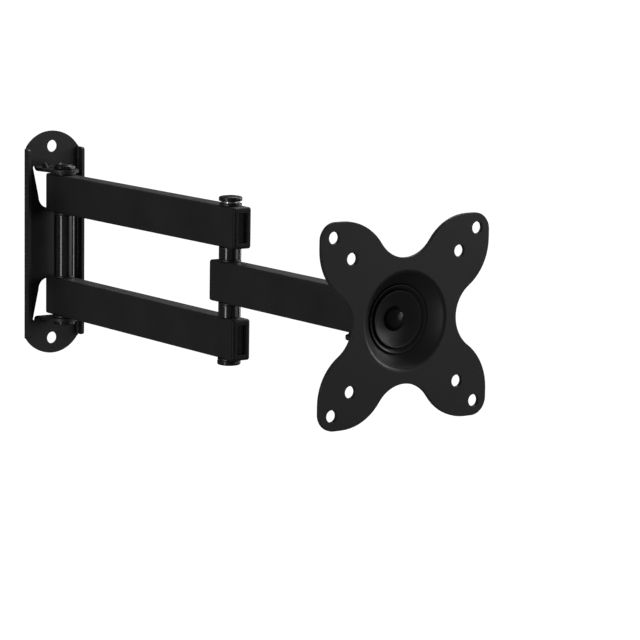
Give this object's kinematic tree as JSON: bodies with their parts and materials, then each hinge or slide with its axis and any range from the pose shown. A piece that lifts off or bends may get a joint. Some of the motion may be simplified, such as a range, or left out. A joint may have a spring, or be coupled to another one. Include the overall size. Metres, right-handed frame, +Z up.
{
  "type": "full motion tv wall mount",
  "caption": "Full motion wall mount for a small screen: wall plate, twin-link arm, forearm, clevis head and a dished friction joint carrying a four-lobed screen plate.",
  "frame": {"origin": "centre of the wall plate's back face, on the wall", "axes": "+Z up, the arm reaches out from the wall along -Y, +X to the right as seen by a viewer who faces the wall"},
  "size_m": [0.1174, 0.3952, 0.1494],
  "materials": {
    "powder_coat": "satin black powder coat on pressed steel and steel tube",
    "sleeve_paint": "smooth semi-gloss black paint on turned steel sleeves",
    "cap_plastic": "fine-textured black moulded polypropylene",
    "bearing_plastic": "smooth black acetal",
    "black_fastener": "black oxide steel with a slight oil sheen",
    "bright_steel": "zinc plated spring steel"
  },
  "bodies": {
    "wall": {"wall_plate": "powder_coat", "wall_pivot_bolt": "black_fastener", "wall_pivot_nut": "black_fastener"},
    "links": {"upper_link_tube": "powder_coat", "lower_link_tube": "powder_coat", "upper_link_wall_cap": "cap_plastic", "upper_link_elbow_cap": "cap_plastic", "lower_link_wall_cap": "cap_plastic", "lower_link_elbow_cap": "cap_plastic", "wall_spacer_sleeve": "sleeve_paint", "wall_upper_bush": "bearing_plastic", "wall_lower_bush": "bearing_plastic", "wall_inner_bushes": "bearing_plastic", "elbow_upper_bush": "bearing_plastic", "elbow_lower_bush": "bearing_plastic", "elbow_upper_spacer": "sleeve_paint", "elbow_lower_spacer": "sleeve_paint", "elbow_bolt": "black_fastener", "elbow_spring_washer": "bright_steel", "elbow_barrel_nut": "black_fastener"},
    "forearm": {"forearm_tube": "powder_coat", "forearm_elbow_cap": "cap_plastic", "forearm_head_cap": "cap_plastic", "forearm_elbow_bushes": "bearing_plastic", "forearm_head_bushes": "bearing_plastic"},
    "head": {"head_bracket": "powder_coat", "head_pivot_bolt": "black_fastener", "head_pivot_nut": "black_fastener", "rear_seat": "powder_coat", "dish_bolt": "black_fastener", "dish_lock_nut": "black_fastener", "front_cup_washer": "powder_coat"},
    "tilt_ring": {"rear_liner": "bearing_plastic"},
    "pan_ring": {"front_liner": "bearing_plastic"},
    "screen_plate": {"screen_plate": "powder_coat"}
  },
  "joints": [
    {"name": "wall_swivel", "type": "hinge", "parent": "wall", "child": "links", "pos_m": [0, -0.0177, 0], "axis": [0, 0, 1], "range_deg": [-90, 90]},
    {"name": "elbow_swivel", "type": "hinge", "parent": "links", "child": "forearm", "pos_m": [0, -0.2162, 0], "axis": [0, 0, -1], "range_deg": [-150, 150]},
    {"name": "head_swivel", "type": "hinge", "parent": "forearm", "child": "head", "pos_m": [0, -0.3537, 0], "axis": [0, 0, 1], "range_deg": [-90, 90]},
    {"name": "plate_tilt", "type": "hinge", "parent": "head", "child": "tilt_ring", "pos_m": [0, -0.4162, 0], "axis": [1, 0, 0], "range_deg": [-12, 12]},
    {"name": "plate_pan", "type": "hinge", "parent": "tilt_ring", "child": "pan_ring", "pos_m": [0, -0.4162, 0], "axis": [0, 0, 1], "range_deg": [-6, 6]},
    {"name": "plate_rotation", "type": "hinge", "parent": "pan_ring", "child": "screen_plate", "pos_m": [0, -0.4162, 0], "axis": [0, 1, 0], "continuous": true}
  ]
}
